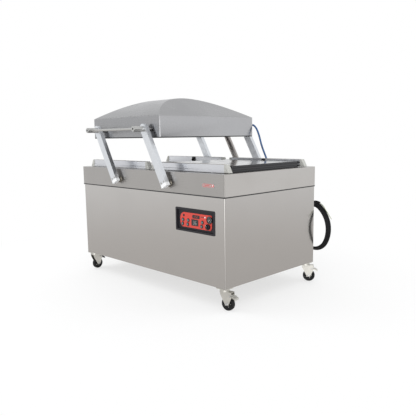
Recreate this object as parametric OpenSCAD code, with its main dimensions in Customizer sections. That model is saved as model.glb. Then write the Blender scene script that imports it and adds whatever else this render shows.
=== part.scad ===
/* [Table] */
// Width of the work table
table_w = 1450; // [1440:2:1500]
// Depth of the work table
table_d = 880; // [876:2:900]
// Height of the table face above the floor
table_z = 780; // [770:5:850]
// Height of the folded skirt round the table
skirt_h = 125; // [110:1:140]
// Thickness of the folded steel sheets
sheet = 2; // [1.5:0.5:3]
// How far the body stands in from the skirt
body_inset = 4; // [4:1:8]
// Height of the body's underside above the floor
body_z = 132; // [128:1:150]

/* [Lid] */
// Width of the swing lid
lid_w = 733; // [725:1:735]
// Depth of the swing lid
lid_d = 876; // [860:2:876]
// Height of the lid's straight walls
lid_wall_h = 128; // [115:1:150]
// Rise of the curved roof above the walls
dome_h = 136; // [100:1:160]
// How far the roof's end plates lean inwards
dome_lean = 250; // [150:5:300]
// Height of the rubber gasket under the lid
gasket_h = 7; // [5:1:10]

/* [Swing linkage] */
// Distance of each lower pivot from the middle
pivot_x = 260; // [240:5:280]
// Height of the lower pivots above the floor
pivot_z = 709; // [700:1:720]
// Distance between an arm's two pivots
arm_len = 378; // [370:1:382]
// Lean of the arms to the left of vertical
arm_lean = 29; // [0:1:60]
// Width of an arm
arm_w = 52.5; // [44:0.5:60]
// Thickness of an arm
arm_t = 28; // [24:1:30]
// Gap between the skirt and an arm
arm_gap = 19.5; // [19:0.5:30]
// Length of the handle posts in front of the arms
post_len = 72; // [60:1:120]

/* [Sealing] */
// Length of a seal bar along its foot
bar_len = 691; // [688:1:692]
// Width of a seal bar
bar_w = 30; // [26:1:34]
// Height of a seal bar's top above the table
bar_top = 50; // [46:1:52]
// Distance of the seal bars from the middle line
bar_y = 363; // [355:1:370]
// Width of a filler board
board_w = 630; // [560:5:640]
// Depth of a filler board
board_d = 640; // [560:5:640]
// Height of the stack of filler boards
board_h = 40; // [20:1:42]

/* [Control panel] */
// Width of the control panel's frame
panel_w = 333; // [320:1:360]
// Height of the control panel's frame
panel_h = 142; // [135:1:160]
// Left edge of the control panel's frame
panel_x = 313; // [280:1:330]
// Top edge of the control panel's frame
panel_z = 570; // [540:1:600]

/* [Casters] */
// Diameter of a caster wheel
wheel_d = 80; // [75:1:82]
// Width of a caster wheel
wheel_w = 26; // [22:1:28]
// Trail of a caster wheel behind its swivel
trail = 24; // [20:1:28]

/* [Mains cable] */
// Outer radius of the cable
cable_r = 7; // [5:0.5:7]
// How far the hung cable reaches to the right of the middle
cable_reach = 823; // [800:1:840]

/* [Hidden] */
$fn = 48;
fit = 0.05;
eps = 1;
corner_r = 6;
top_t = 3;
half_w = table_w / 2;
half_d = table_d / 2;
skirt_z = table_z - skirt_h;
body_w = table_w - 2 * body_inset;
body_d = table_d - 2 * body_inset;
body_top = skirt_z + 35;
tube_s = 40;
tube_t = 3;
rail_top = table_z - top_t;

pin_r = 8;
shaft_r = 12.5;
bush_r = 16;
flange_r = 22;
arm_y = half_d + arm_gap;
pin_rise = 49.6;
lid_x = -arm_len * sin(arm_lean);
lid_z = pivot_z + arm_len * cos(arm_lean) - pin_rise;
link_x = 48;
post_r = 17;
post_y = arm_y + arm_t + 3;
handle_y = post_y + post_len / 2;
shaft_socket = 22;
arm_head = 6;
arm_cap_h = 21;
link_r = 22;
link_in = arm_y + arm_t / 2 - link_r;
link_out = link_in + 2 * link_r;
flange_w = 14;

bar_x = lid_w / 2 - 9.5;
bar_slant = 25;
bar_gap = 3;
cap_in = 13;
rod_r = 6;
rod_x = 200;
strip_rise = 50;

front_y = -body_d / 2;
floor_y = front_y + 8;
skin_t = 2;
skin_y = floor_y - skin_t;
button_r = 9;
knob_r = 16.5;
gauge_r = 21;

caster_x = body_w / 2 - 38;
caster_y = body_d / 2 - 35;
wheel_r = wheel_d / 2;
fork_t = 3;
fork_v = wheel_w / 2 + 2.5;
fork_top = wheel_d + 32;
axle_r = 4;
pedal_u = 46;
pedal_z = 90;
pedal_pin_r = 3;

loop_x = 683;
loop_r = 107;
loop_top_r = 62;
loop_low = 312;
loop_high = 463;
loop_tilt = asin((loop_r - loop_top_r) / (loop_high - loop_low));
loop_y = half_d + 48;
hook_y = 98;

pump_z = body_z + sheet + tube_s;
pump_axis_z = pump_z + 116;
pump_top_z = pump_z + 236;
pump_end = 90;
valve_z = 590;
riser_x = 20;

front_reach = post_y + post_len;
rear_reach = half_d + hook_y;
frame_x = (half_w - cable_reach) / 2;
frame_y = (front_reach - rear_reach) / 2;

sides = [-1, 1];
casters = [
    ["front_left", -1, -1, 95],
    ["front_right", 1, -1, 10],
    ["rear_left", -1, 1, 60],
    ["rear_right", 1, 1, 30]
];
button_spots = [[58, 74], [54, 99], [104, 74], [99, 99], [225, 75], [218, 100]];
knob_spot = [272, 96];
gauge_spot = [285, 55];

// ---- shared shapes ----

// Moves the table's centre line so that the origin is the floor point under the whole object
module place() {
    translate([frame_x, frame_y, 0]) children();
}

// Box between two opposite corners
module span(low, high) {
    translate(low) cube(high - low);
}

// Flat rectangle with round corners, centred
module round_rect(w, d, r) {
    square([w - 2 * r, d], center = true);
    square([w, d - 2 * r], center = true);
    for (sx = sides, sy = sides)
        translate([sx * (w / 2 - r), sy * (d / 2 - r)]) circle(r = r);
}

// Round bar along Y from y0 to y1
module bar_along_y(r, y0, y1) {
    translate([0, y0, 0]) rotate([-90, 0, 0]) cylinder(r = r, h = y1 - y0);
}

// Round bar along X from x0 to x1
module bar_along_x(r, x0, x1) {
    translate([x0, 0, 0]) rotate([0, 90, 0]) cylinder(r = r, h = x1 - x0);
}

// Flat outline in X and Z, drawn out along Y from y0 to y1
module sheet_xz(y0, y1) {
    translate([0, y1, 0]) rotate([90, 0, 0]) linear_extrude(y1 - y0) children();
}

// Flat outline in Y and Z, drawn out along X from x0 to x1
module sheet_yz(x0, x1) {
    translate([x0, 0, 0]) rotate([90, 0, 90]) linear_extrude(x1 - x0) children();
}

// Square steel tube along X, Y or Z, between two points given by its centre line
module tube_x(x0, x1, y, z) {
    difference() {
        span([x0, y - tube_s / 2, z - tube_s / 2], [x1, y + tube_s / 2, z + tube_s / 2]);
        span([x0 - eps, y - tube_s / 2 + tube_t, z - tube_s / 2 + tube_t],
             [x1 + eps, y + tube_s / 2 - tube_t, z + tube_s / 2 - tube_t]);
    }
}

module tube_y(y0, y1, x, z) {
    rotate([0, 0, 90]) tube_x(y0, y1, -x, z);
}

// ---- body ----

module base_frame() {
    post_x = body_w / 2 - sheet - tube_s / 2 - 2;
    post_y0 = body_d / 2 - sheet - tube_s / 2 - 2;
    in_x = post_x - tube_s / 2;
    in_y = post_y0 - tube_s / 2;
    low = body_z + sheet + tube_s / 2;
    high = rail_top - tube_s / 2;
    pump_rail_x = 150;
    beam_y = 200;
    place() color("silver") {
        for (sx = sides, sy = sides)
            translate([sx * post_x, sy * post_y0, low - tube_s / 2])
                linear_extrude(rail_top - low + tube_s / 2)
                    difference() {
                        square(tube_s, center = true);
                        square(tube_s - 2 * tube_t, center = true);
                    }
        for (z = [low, high], sy = sides)
            tube_x(-in_x, in_x, sy * post_y0, z);
        for (z = [low, high], sx = sides)
            tube_y(-in_y, in_y, sx * post_x, z);
        for (sx = sides)
            tube_y(-in_y, in_y, sx * pump_rail_x, low);
        for (sy = sides)
            tube_x(-in_x, in_x, sy * beam_y, high);
    }
}

module bottom_plate() {
    x = body_w / 2 - sheet;
    y = body_d / 2 - sheet;
    vent_r = 30;
    place() color("gray")
        difference() {
            span([-x, -y, body_z], [x, y, body_z + sheet]);
            for (i = [-2 : 2])
                translate([i * 2.5 * vent_r, 0, body_z - eps]) cylinder(r = vent_r, h = sheet + 2 * eps);
        }
}

module front_panel() {
    lip = 8;
    place() color("silver")
        difference() {
            span([-body_w / 2, front_y, body_z], [body_w / 2, front_y + sheet, body_top]);
            span([panel_x + lip, front_y - eps, panel_z - panel_h + lip],
                 [panel_x + panel_w - lip, front_y + sheet + eps, panel_z - lip]);
        }
}

module side_panels() {
    y = body_d / 2 - sheet;
    place() color("darkgray")
        for (sx = sides)
            translate([sx * (body_w - sheet) / 2, 0, (body_z + body_top) / 2])
                cube([sheet, 2 * y, body_top - body_z], center = true);
}

module rear_panel() {
    slot_w = 90;
    slot_h = 6;
    slot_step = 18;
    vent_x = 330;
    vent_z = 260;
    hook_x = loop_x - 14;
    hook_z = loop_high + 44;
    hook_r = 6;
    back = body_d / 2;
    place() color("silver") {
        difference() {
            span([-body_w / 2, back - sheet, body_z], [body_w / 2, back, body_top]);
            for (sx = sides, i = [0 : 11], j = [-1, 0, 1])
                translate([sx * vent_x + j * 1.3 * slot_w, back, vent_z + i * slot_step])
                    cube([slot_w, 4 * sheet, slot_h], center = true);
        }
        translate([hook_x, 0, hook_z]) {
            bar_along_y(hook_r, back, half_d + hook_y - hook_r);
            translate([0, half_d + hook_y - hook_r, 0]) sphere(r = hook_r);
            translate([0, half_d + hook_y - hook_r, 0]) cylinder(r = hook_r, h = 20);
            bar_along_y(2 * hook_r, back, back + 3);
        }
    }
}

module table_top() {
    inner = skirt_h - top_t;
    port_r = 18;
    place() color("gainsboro")
        difference() {
            translate([0, 0, skirt_z])
                linear_extrude(skirt_h) round_rect(table_w, table_d, corner_r);
            translate([0, 0, skirt_z - eps])
                linear_extrude(inner + eps)
                    round_rect(table_w - 2 * sheet, table_d - 2 * sheet, corner_r - sheet);
            for (sx = sides, sy = sides)
                rod_places(sx, sy)
                    translate([0, 0, rail_top - eps]) cylinder(r = rod_r + 0.5, h = top_t + 2 * eps);
            for (sx = sides) {
                translate([sx * bar_x, 0, rail_top - eps]) cylinder(r = port_r, h = top_t + 2 * eps);
                translate([sx * pivot_x, 0, pivot_z])
                    bar_along_y(bush_r, -half_d - eps, half_d + eps);
            }
            translate([link_x, 0, pivot_z]) bar_along_y(pin_r, half_d - 3 * sheet, half_d + eps);
        }
}

// Puts its children at both lift rods of one seal bar
module rod_places(sx, sy) {
    for (s = sides)
        translate([sx * bar_x + s * rod_x, sy * bar_y, 0]) children();
}

// Loose boards stacked in the right chamber
module filler_boards() {
    layers = 3;
    gap = 0.2;
    board_t = (board_h - (layers - 1) * gap) / layers;
    place() color("dimgray")
        for (i = [0 : layers - 1])
            translate([bar_x, 0, table_z + i * (board_t + gap)])
                linear_extrude(board_t) round_rect(board_w, board_d, corner_r);
}

module pivot_bushes() {
    in = 14;
    out = 6;
    place() color("goldenrod") {
        for (sx = sides, sy = sides)
            translate([sx * pivot_x, 0, pivot_z]) scale([1, sy, 1])
                difference() {
                    union() {
                        bar_along_y(bush_r, half_d - in, half_d + out);
                        bar_along_y(flange_r, half_d, half_d + out);
                    }
                    bar_along_y(shaft_r + fit, half_d - in - eps, half_d + out + eps);
                }
        translate([link_x, 0, pivot_z]) {
            bar_along_y(pin_r, half_d - in, link_out + 4);
            bar_along_y(bush_r, half_d, link_in - 0.5);
            bar_along_y(bush_r, half_d - in, half_d - sheet);
            bar_along_y(bush_r, link_out + 0.5, link_out + 4);
        }
    }
}

// ---- inside the body ----

module seal_cylinders() {
    cyl_r = 20;
    cyl_h = 80;
    end = 6;
    place() color("slategray")
        for (sx = sides, sy = sides)
            rod_places(sx, sy)
                translate([0, 0, rail_top - cyl_h])
                    difference() {
                        cylinder(r = cyl_r, h = cyl_h);
                        translate([0, 0, end]) cylinder(r = rod_r + fit, h = cyl_h);
                    }
}

module vacuum_pump() {
    foot = 12;
    base = 30;
    case_r = 95;
    place() color("steelblue")
        difference() {
            union() {
                for (sx = sides, sy = sides)
                    translate([sx * 150 - 20, sy * 95 - 20, pump_z]) cube([40, 40, foot]);
                span([-170, -115, pump_z + foot], [170, 115, pump_z + base]);
                span([-170, -115, pump_z + foot], [pump_end, 115, pump_z + 90]);
                translate([0, 0, pump_axis_z]) bar_along_x(case_r, -150, pump_end);
                span([-170, -105, pump_axis_z], [-60, 105, pump_top_z]);
                translate([riser_x, 0, pump_axis_z]) cylinder(r = 34, h = pump_top_z - pump_axis_z);
            }
            for (i = [0 : 4])
                translate([-170 + eps, -80 + i * 40, pump_top_z - 60])
                    rotate([0, -90, 0]) cylinder(r = 12, h = 6);
        }
}

module pump_motor() {
    motor_r = 85;
    motor_x0 = 172;
    motor_x1 = 380;
    fin = 4;
    place() color("darkslategray")
        translate([0, 0, pump_axis_z]) {
            bar_along_x(50, pump_end, motor_x0);
            bar_along_x(motor_r - 8, motor_x0, motor_x1);
            bar_along_x(motor_r, motor_x0, motor_x0 + 12);
            bar_along_x(motor_r, motor_x1 - 40, motor_x1);
            for (a = [0 : 30 : 330])
                rotate([a, 0, 0])
                    span([motor_x0 + 6, -fin / 2, motor_r - 20], [motor_x1 - 20, fin / 2, motor_r]);
            span([230, -45, motor_r - 20], [320, 45, motor_r + 35]);
        }
}

module valve_block() {
    hang = 4;
    beam_y = 200;
    beam_low = rail_top - tube_s;
    place() color("lightsteelblue") {
        span([-60, -55, valve_z], [100, 55, valve_z + 80]);
        span([10, -10, valve_z + 80], [30, 10, beam_low - hang]);
        span([-10, -beam_y - 20, beam_low - hang], [50, beam_y + 20, beam_low]);
        for (i = [0 : 3])
            translate([-40 + i * 40, 55, valve_z + 40]) bar_along_y(14, 0, 50);
    }
}

module vacuum_pipes() {
    pipe_r = 20;
    bend = 50;
    run_z = valve_z + 40;
    place() color("dimgray") {
        translate([riser_x, 0, pump_top_z]) cylinder(r = pipe_r, h = valve_z - pump_top_z);
        for (s = [[-1, 60], [1, 100]])
            scale([s[0], 1, 1]) {
                translate([0, 0, run_z]) bar_along_x(pipe_r, s[1], bar_x - bend);
                translate([bar_x - bend, 0, run_z + bend])
                    rotate([90, 0, 0])
                        rotate([0, 0, -90])
                            rotate_extrude(angle = 90) translate([bend, 0]) circle(r = pipe_r);
                translate([bar_x, 0, run_z + bend])
                    cylinder(r = pipe_r, h = rail_top - run_z - bend);
            }
    }
}

module electrical_parts() {
    board_t = 1.6;
    stand = 8;
    back = floor_y + 3;
    coil_h = 110;
    place() color("seagreen") {
        translate([panel_x + panel_w / 2, 0, panel_z - panel_h / 2]) {
            sheet_xz(back + stand, back + stand + board_t) square([280, 96], center = true);
            for (sx = sides, sz = sides)
                translate([sx * 132, 0, sz * 42]) bar_along_y(4, back, back + stand);
        }
        for (i = [0, 1])
            translate([-520 + i * 170, 230, body_z + sheet]) {
                translate([-60, -45, 0]) cube([120, 90, coil_h]);
                translate([-40, -60, 25]) cube([80, 120, coil_h - 50]);
            }
    }
}

// ---- control panel ----

// Puts its children at a place given from the panel frame's upper left corner
module on_panel(spot) {
    translate([panel_x + spot[0], 0, panel_z - spot[1]]) children();
}

// Outline of the coloured skin: wide round corners on the left, small ones on the right
module skin_outline() {
    w = 268;
    h = 89;
    step = 9;
    corners = [[1, 1, 8, 0], [-1, 1, 38, 90], [-1, -1, 30, 180], [1, -1, 20, 270]];
    translate([33 + w / 2, -28 - h / 2])
        polygon([
            for (c = corners, a = [c[3] : step : c[3] + 90])
                [c[0] * (w / 2 - c[2]) + c[2] * cos(a), c[1] * (h / 2 - c[2]) + c[2] * sin(a)]
        ]);
}

// Holes for the buttons, the knob's shaft and the gauge
module panel_holes(y0, y1) {
    for (spot = button_spots)
        on_panel(spot) bar_along_y(button_r + 2 * fit, y0, y1);
    on_panel(knob_spot) bar_along_y(3 + fit, y0, y1);
}

module control_frame() {
    proud = 2.5;
    lip = 8.5;
    wall = 3;
    w = panel_w - 2 * lip;
    h = panel_h - 2 * lip;
    mid = [panel_w / 2, panel_h / 2];
    place() color("dimgray")
        difference() {
            union() {
                on_panel(mid) sheet_xz(front_y - proud, front_y) round_rect(panel_w, panel_h, 8);
                on_panel(mid) sheet_xz(front_y - proud, floor_y + wall) round_rect(w, h, 5);
            }
            on_panel(mid) sheet_xz(front_y - proud - eps, floor_y)
                round_rect(w - 2 * wall, h - 2 * wall, 4);
            panel_holes(floor_y - eps, floor_y + wall + eps);
        }
}

module control_skin() {
    place() color("tomato")
        difference() {
            translate([panel_x, 0, panel_z]) sheet_xz(skin_y, floor_y) skin_outline();
            panel_holes(skin_y - eps, floor_y + eps);
        }
}

module display_windows() {
    proud = 1.2;
    place() color("darkslategray") {
        on_panel([65, 47]) bar_along_y(5, skin_y - proud, skin_y);
        on_panel([171, 48]) sheet_xz(skin_y - proud, skin_y) round_rect(63, 20, 8);
        on_panel([161, 83]) sheet_xz(skin_y - proud, skin_y) round_rect(58, 38, 3);
    }
}

module gauge_case() {
    deep = 6;
    rim = 2;
    dial = 2.5;
    place() color("black")
        on_panel(gauge_spot) {
            difference() {
                bar_along_y(gauge_r, skin_y - deep, skin_y);
                bar_along_y(gauge_r - rim, skin_y - deep - eps, skin_y - dial);
            }
            bar_along_y(1.2, skin_y - dial - 2, skin_y - dial);
        }
}

module gauge_needle() {
    place() color("white")
        on_panel(gauge_spot)
            difference() {
                union() {
                    bar_along_y(2.8, skin_y - 4, skin_y - 3);
                    rotate([0, -135, 0])
                        sheet_xz(skin_y - 4, skin_y - 3)
                            polygon([[-1.4, -5], [1.4, -5], [0.4, 15], [-0.4, 15]]);
                }
                bar_along_y(1.25, skin_y - 5, skin_y - 2);
            }
}

module vacuum_knob() {
    tall = 9;
    grip = 6;
    place() color("black")
        on_panel(knob_spot) {
            bar_along_y(knob_r, skin_y - tall, skin_y - 0.5);
            bar_along_y(3, skin_y - 0.5, floor_y + 5);
            rotate([0, -30, 0])
                sheet_xz(skin_y - tall - grip, skin_y - tall) round_rect(7, 2 * knob_r - 3, 3);
        }
}

module button(spot) {
    place() color("cadetblue")
        on_panel(spot) bar_along_y(button_r, skin_y - 3.5, floor_y + 1);
}

module button_1() { button(button_spots[0]); }
module button_2() { button(button_spots[1]); }
module button_3() { button(button_spots[2]); }
module button_4() { button(button_spots[3]); }
module button_5() { button(button_spots[4]); }
module button_6() { button(button_spots[5]); }

module badge_plate() {
    place() color("firebrick")
        translate([601, 0, table_z - 66])
            sheet_xz(-half_d - 1.5, -half_d) round_rect(99, 23, 11);
}

// ---- fasteners and cable ----

module panel_screws() {
    head_r = 5;
    head_h = 2.5;
    edge = 14;
    back = body_d / 2;
    place() color("lightgray")
        for (x = [-1, -0.5, 0, 0.5, 1], z = [body_z + edge, body_top - 50])
            translate([x * (body_w / 2 - edge), 0, z]) bar_along_y(head_r, back, back + head_h);
}

// One turn of the hung cable: wide round foot, narrower round head and two straight sides
module cable_turn() {
    run = (loop_high - loop_low) * cos(loop_tilt);
    swell = 0.4;
    rotate([90, 0, 0]) {
        rotate([0, 0, 180 - loop_tilt])
            rotate_extrude(angle = 180 + 2 * loop_tilt) translate([loop_r, 0]) circle(r = cable_r);
        translate([0, loop_high - loop_low, 0])
            rotate([0, 0, loop_tilt])
                rotate_extrude(angle = 180 - 2 * loop_tilt)
                    translate([loop_top_r, 0]) circle(r = cable_r);
        for (s = sides)
            scale([s, 1, 1])
                rotate([0, 0, loop_tilt])
                    translate([loop_r, 0, 0])
                        rotate([-90, 0, 0]) {
                            cylinder(r = cable_r, h = run);
                            sphere(r = cable_r + swell);
                            translate([0, 0, run]) sphere(r = cable_r + swell);
                        }
    }
}

module mains_cable() {
    turns = 3;
    step = 2 * cable_r + 1;
    mid = (loop_r + loop_top_r) / 2;
    wire_r = 2.5;
    wire_x = loop_x + 48;
    wire_tilt = 125;
    wire_run = (cable_reach - wire_x + wire_r * cos(wire_tilt)) / sin(wire_tilt);
    place() color("black") {
        for (i = [0 : turns - 1])
            translate([loop_x, loop_y + i * step, loop_low]) cable_turn();
        translate([loop_x - mid, 0, (loop_low + loop_high) / 2])
            bar_along_y(cable_r - 1, body_d / 2, loop_y);
        translate([wire_x, loop_y + step, loop_high + 39])
            rotate([0, wire_tilt, 0]) cylinder(r = wire_r, h = wire_run);
    }
}

// ---- swing linkage ----

// Puts its children on an arm's lower pivot, with Z along the leaning arm
module on_arm(x) {
    translate([x, 0, pivot_z]) rotate([0, -arm_lean, 0]) children();
}

// Front and rear arm of one shaft, each split at the shaft, with two screw pockets above the split
module arm_pair(x) {
    out = arm_y + arm_t;
    top = arm_len + arm_head;
    pocket_r = 4.5;
    pocket_x = 14;
    pocket = 5;
    for (sy = sides)
        on_arm(x)
            scale([1, sy, 1])
                difference() {
                    union() {
                        span([-arm_w / 2, arm_y, fit], [arm_w / 2, out, top]);
                        translate([0, 0, top]) bar_along_y(arm_w / 2, arm_y, out);
                    }
                    bar_along_y(shaft_r, arm_y - eps, arm_y + shaft_socket);
                    translate([0, 0, arm_len]) bar_along_y(pin_r + fit, arm_y - eps, out + eps);
                    for (s = sides)
                        translate([s * pocket_x, 0, 0]) {
                            span([-pocket_r, out - pocket, 3], [pocket_r, out + eps, 12]);
                            translate([0, 0, 12]) bar_along_y(pocket_r, out - pocket, out + eps);
                        }
                }
}

// Clamp caps that close the split ends round the shaft
module arm_caps(x) {
    for (sy = sides)
        on_arm(x)
            scale([1, sy, 1])
                difference() {
                    span([-arm_w / 2, arm_y, -arm_cap_h], [arm_w / 2, arm_y + arm_t, -fit]);
                    bar_along_y(shaft_r, arm_y - eps, arm_y + shaft_socket);
                }
}

module shaft(x) {
    end = arm_y + shaft_socket;
    translate([x, 0, pivot_z]) bar_along_y(shaft_r, -end, end);
}

module left_arms() { place() color("whitesmoke") arm_pair(-pivot_x); }
module right_arms() { place() color("whitesmoke") arm_pair(pivot_x); }
module left_arm_caps() { place() color("white") arm_caps(-pivot_x); }
module right_arm_caps() { place() color("white") arm_caps(pivot_x); }
module left_shaft() { place() color("gray") shaft(-pivot_x); }
module right_shaft() { place() color("gray") shaft(pivot_x); }

// Round tube with a hub across each end
module centre_link() {
    hub_r = link_r + 2;
    place() color("rosybrown")
        on_arm(link_x)
            difference() {
                union() {
                    translate([0, link_in + link_r, 0]) cylinder(r = link_r, h = arm_len);
                    for (z = [0, arm_len])
                        translate([0, 0, z]) bar_along_y(hub_r, link_in, link_out);
                }
                for (z = [0, arm_len])
                    translate([0, 0, z]) bar_along_y(pin_r + fit, link_in - eps, link_out + eps);
            }
}

// Air line to the lid, drawn as straight pieces joined by balls
module air_hose() {
    hose_r = 6;
    y = half_d + 12.5;
    bends = [[186, 1062], [213, 1032], [233, 990], [246, 950], [266, 897], [296, 834], [318, 784]];
    place() color("royalblue")
        for (i = [0 : len(bends) - 2]) {
            run = bends[i + 1] - bends[i];
            translate([bends[i][0], y, bends[i][1]]) {
                sphere(r = hose_r + 0.5);
                rotate([0, atan2(run[0], run[1]), 0]) cylinder(r = hose_r, h = norm(run));
            }
        }
}

// ---- lid ----

// Puts its children on the middle of the lid's lower edge
module on_lid() {
    place() translate([lid_x, 0, lid_z]) children();
}

// Outside of the lid, or the same shape with every wall moved in by t
module lid_body(t) {
    half = lid_d / 2;
    arc_r = (half * half + dome_h * dome_h) / (2 * dome_h);
    top = lid_wall_h + dome_h;
    slope = dome_lean / dome_h;
    edge = lid_w / 2 - t;
    low = t > 0 ? -eps : 0;
    translate([0, 0, low])
        linear_extrude(lid_wall_h - low)
            round_rect(lid_w - 2 * t, lid_d - 2 * t, corner_r - t);
    intersection() {
        translate([0, 0, top - arc_r])
            bar_along_x(arc_r - t, -lid_w, lid_w, $fn = 180);
        sheet_xz(-half + t, half - t)
            polygon([
                [-edge, lid_wall_h], [edge, lid_wall_h],
                [edge - slope * dome_h, top], [-edge + slope * dome_h, top]
            ]);
    }
}

module lid_shell() {
    on_lid() color("lightgray")
        difference() {
            union() {
                difference() {
                    lid_body(0);
                    lid_body(sheet);
                }
                linear_extrude(sheet) lid_ring();
            }
            lid_pin_places() bar_along_y(pin_r, lid_d / 2 - 3 * sheet, lid_d / 2 + eps);
            translate([link_x, 0, pin_rise]) bar_along_y(pin_r, lid_d / 2 - 3 * sheet, lid_d / 2 + eps);
        }
}

// Flat ring as wide as the lid's inward flange
module lid_ring() {
    difference() {
        round_rect(lid_w - 2, lid_d - 2, corner_r - 1);
        square([lid_w - 2 * flange_w, lid_d - 2 * flange_w], center = true);
    }
}

// Puts its children at the four arm pivots on the lid
module lid_pin_places() {
    for (sx = sides, sy = sides)
        translate([sx * pivot_x, 0, pin_rise]) scale([1, sy, 1]) children();
}

module lid_gasket() {
    on_lid() color("black")
        translate([0, 0, -gasket_h]) linear_extrude(gasket_h) lid_ring();
}

module counter_bars() {
    strip_h = 6;
    holder_h = 34;
    end = lid_w / 2 - sheet;
    on_lid()
        for (sy = sides)
            translate([0, sy * bar_y, strip_rise]) {
                color("firebrick") span([-end, -10, 0], [end, 10, strip_h]);
                color("silver") span([-end, -bar_w / 2, strip_h], [end, bar_w / 2, strip_h + holder_h]);
            }
}

module lid_pins() {
    half = lid_d / 2;
    nut_r = 14;
    washer_r = 17;
    arm_out = arm_y + arm_t;
    on_lid() color("dimgray") {
        lid_pin_places() {
            bar_along_y(pin_r, half - 10, post_y);
            bar_along_y(nut_r, half - 10, half - sheet);
            bar_along_y(nut_r, half, arm_y - 0.5);
            bar_along_y(washer_r, arm_out + 0.5, post_y);
        }
        translate([link_x, 0, pin_rise]) {
            bar_along_y(pin_r, half - 10, link_out + 4);
            bar_along_y(nut_r, half - 10, half - sheet);
            bar_along_y(nut_r, half, link_in - 0.5);
            bar_along_y(washer_r, link_out + 0.5, link_out + 4);
        }
    }
}

module handle_posts() {
    socket_r = 7;
    socket = 14;
    rim = 2;
    on_lid() color("silver")
        for (sx = sides)
            translate([sx * pivot_x, 0, pin_rise])
                difference() {
                    union() {
                        bar_along_y(post_r, -post_y - post_len + rim, -post_y);
                        bar_along_y(post_r - rim, -post_y - post_len, -post_y);
                    }
                    bar_along_y(socket_r, -post_y - post_len - eps, -post_y - post_len + socket, $fn = 6);
                    translate([0, -handle_y, 0])
                        scale([-sx, 1, 1]) bar_along_x(pin_r, -2, post_r + eps);
                }
}

module handle_rod() {
    on_lid() color("silver")
        translate([0, -handle_y, pin_rise]) bar_along_x(pin_r, 2 - pivot_x, pivot_x - 2);
}

// ---- seal bars ----

// Two bars of one chamber with their lift rods
module seal_bars(sx) {
    foot = 14;
    step = 2;
    h = bar_top - bar_gap;
    half = bar_len / 2 - bar_slant - cap_in;
    w = bar_w / 2;
    rod_len = 70;
    for (sy = sides) {
        translate([sx * bar_x, sy * bar_y, table_z + bar_gap])
            sheet_yz(-half, half)
                polygon([
                    [-w, 0], [w, 0], [w, foot], [w - step, foot + step], [w - step, h - step],
                    [w - 2 * step, h], [2 * step - w, h], [step - w, h - step],
                    [step - w, foot + step], [-w, foot]
                ]);
        rod_places(sx, sy)
            translate([0, 0, table_z + bar_gap - rod_len]) cylinder(r = rod_r, h = rod_len);
    }
}

// Plastic end pieces of one chamber's two bars
module bar_caps(sx) {
    h = bar_top - bar_gap;
    inner = bar_len / 2 - bar_slant - cap_in;
    w = bar_w / 2 + 1;
    for (sy = sides, end = sides)
        translate([sx * bar_x, sy * bar_y, table_z + bar_gap])
            scale([end, 1, 1])
                sheet_xz(-w, w)
                    polygon([
                        [inner, 0], [bar_len / 2, 0], [bar_len / 2 - bar_slant, h], [inner, h]
                    ]);
}

module left_seal_bars() { place() color("silver") seal_bars(-1); }
module right_seal_bars() { place() color("silver") seal_bars(1); }
module left_bar_caps() { place() color("ivory") bar_caps(-1); }
module right_bar_caps() { place() color("ivory") bar_caps(1); }

// ---- casters ----

// Puts its children on a caster's swivel line, with X along its trail
module on_caster(i) {
    c = casters[i];
    place() translate([c[1] * caster_x, c[2] * caster_y, 0]) rotate([0, 0, c[3]]) children();
}

module caster_plates() {
    plate = 74;
    plate_t = 4;
    bolt_r = 6;
    bolt_h = 4;
    bolt_at = 27;
    pin_low = fork_top - 8;
    place() color("silver")
        for (c = casters)
            translate([c[1] * caster_x, c[2] * caster_y, 0]) {
                translate([0, 0, body_z - plate_t])
                    linear_extrude(plate_t) round_rect(plate, plate, corner_r);
                for (sx = sides, sy = sides)
                    translate([sx * bolt_at, sy * bolt_at, body_z - plate_t - bolt_h])
                        cylinder(r = bolt_r, h = bolt_h + eps);
                translate([0, 0, pin_low]) cylinder(r = pin_r, h = body_z - plate_t - pin_low + eps);
                translate([0, 0, pin_low]) cylinder(r = 14, h = 4);
            }
}

module fork(i) {
    head_r = 29;
    head_h = 14;
    axle = wheel_w / 2 + 8;
    on_caster(i) color("silver") {
        difference() {
            union() {
                translate([0, 0, fork_top]) cylinder(r = head_r, h = head_h);
                span([-24, -fork_v - fork_t, fork_top - fork_t], [54, fork_v + fork_t, fork_top]);
            }
            translate([0, 0, fork_top - fork_t - eps])
                cylinder(r = pin_r + fit, h = head_h + fork_t + 2 * eps);
            translate([0, 0, fork_top - fork_t - eps]) cylinder(r = 15, h = fork_t + eps);
        }
        for (s = sides)
            translate([0, s * (fork_v + fork_t / 2), 0])
                sheet_xz(-fork_t / 2, fork_t / 2)
                    polygon([
                        [-24, fork_top], [54, fork_top], [56, pedal_z - 8],
                        [trail + 10, wheel_r - 8], [trail - 10, wheel_r - 8], [-18, fork_top - 22]
                    ]);
        translate([trail, 0, wheel_r]) bar_along_y(axle_r, -axle, axle);
        translate([pedal_u, 0, pedal_z])
            bar_along_y(pedal_pin_r, -fork_v - fork_t - 3, fork_v + fork_t + 3);
    }
}

module wheel(i) {
    tread_r = 5;
    hub_r = 12;
    on_caster(i) color("black")
        translate([trail, 0, wheel_r])
            difference() {
                union() {
                    rotate([90, 0, 0])
                        rotate_extrude()
                            intersection() {
                                round_rect(2 * wheel_r, wheel_w - 2, tread_r);
                                translate([0, -wheel_w]) square([wheel_r + eps, 2 * wheel_w]);
                            }
                    bar_along_y(hub_r, -wheel_w / 2, wheel_w / 2);
                }
                bar_along_y(axle_r + fit, -wheel_w, wheel_w);
            }
}

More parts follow.
